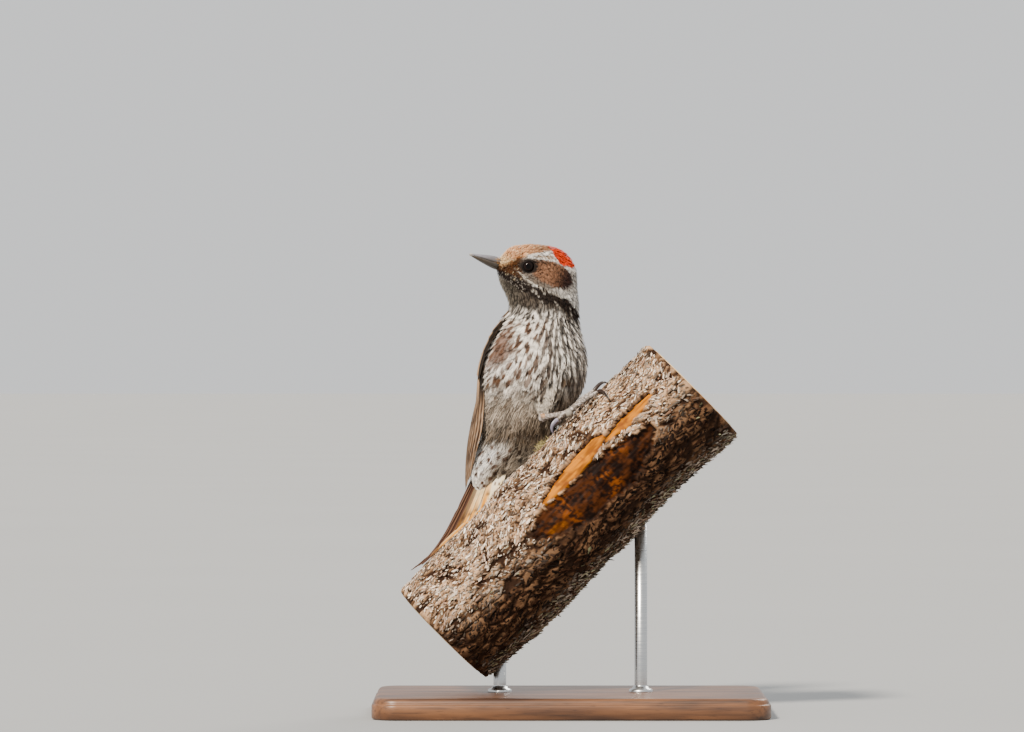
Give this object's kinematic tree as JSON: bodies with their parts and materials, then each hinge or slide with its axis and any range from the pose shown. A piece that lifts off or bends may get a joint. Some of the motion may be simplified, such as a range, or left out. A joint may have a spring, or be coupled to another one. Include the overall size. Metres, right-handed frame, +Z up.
{
  "type": "arizona woodpecker model",
  "caption": "Life-size still model of an Arizona woodpecker clinging to a cut length of pine branch, its head turned to the side, held over a flat base by steel rods.",
  "frame": {"origin": "middle of the underside of the stand's base", "axes": "+Z up, +X along the base towards the raised end of the perch, -Y towards the front, where the bird's breast faces"},
  "size_m": [0.184, 0.112, 0.2194],
  "materials": {
    "head_coat": "short brown and white feathers, with a red patch on the hind crown",
    "body_coat": "soft whitish feathers with dark brown drops and bars",
    "wing_feather": "brown flight feathers with white spots",
    "tail_feather": "stiff dark brown feathers, buff and barred at the sides",
    "bill_horn": "satin grey horn",
    "claw_horn": "satin dark horn",
    "foot_skin": "grey scaly skin",
    "eye": "wet dark brown",
    "pine_bark": "rough flaking bark with bare orange inner bark",
    "stand_wood": "dark oiled wood",
    "stand_steel": "brushed"
  },
  "bodies": {
    "root": {"bill_lower": "bill_horn", "bill_upper": "bill_horn", "claw_left_1": "claw_horn", "claw_left_2": "claw_horn", "claw_left_3": "claw_horn", "claw_left_4": "claw_horn", "claw_right_1": "claw_horn", "claw_right_2": "claw_horn", "claw_right_3": "claw_horn", "claw_right_4": "claw_horn", "eye_left": "eye", "eye_right": "eye", "foot_left": "foot_skin", "foot_right": "foot_skin", "head": "head_coat", "neck": "body_coat", "perch": "pine_bark", "shank_left": "foot_skin", "shank_right": "foot_skin", "stand_base": "stand_wood", "stand_rod_lower": "stand_steel", "stand_rod_upper": "stand_steel", "tail": "tail_feather", "thigh_left": "body_coat", "thigh_right": "body_coat", "trunk": "body_coat", "wing_left": "wing_feather", "wing_right": "wing_feather"}
  },
  "joints": []
}
